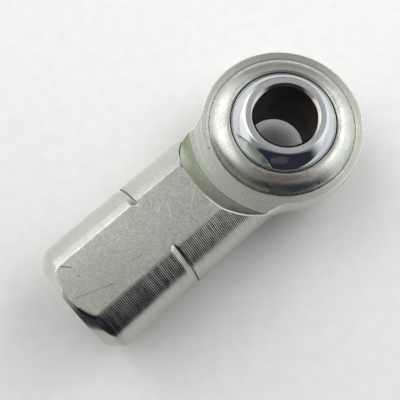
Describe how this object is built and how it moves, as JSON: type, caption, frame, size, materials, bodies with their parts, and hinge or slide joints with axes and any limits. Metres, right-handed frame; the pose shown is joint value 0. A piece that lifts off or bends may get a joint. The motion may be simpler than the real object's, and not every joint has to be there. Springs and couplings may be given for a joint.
{
  "type": "female rod end",
  "caption": "Female rod end: a round-headed plated steel body with a flatted shank and a blind tapped hole, coined round a chromed ball with a through bore.",
  "frame": {"origin": "centre of the ball, on the axis of its bore", "axes": "+Z along the bore, up; +X along the shank, out of the tapped hole's mouth; +Y completes the right-handed set, across the shank"},
  "size_m": [0.0565, 0.027, 0.0168],
  "materials": {
    "body": "zinc-plated turned steel with milled flats, satin with a faint green-yellow tint",
    "ball": "hard-chromed and polished sphere, satin turned faces"
  },
  "bodies": {
    "body": {"body": "body"},
    "ball": {"ball": "ball"}
  },
  "joints": [
    {"name": "ball_tilt", "type": "hinge", "parent": "body", "child": "ball", "pos_m": [0, 0, 0], "axis": [1, 0, 0], "range_deg": [-13, 13]}
  ]
}
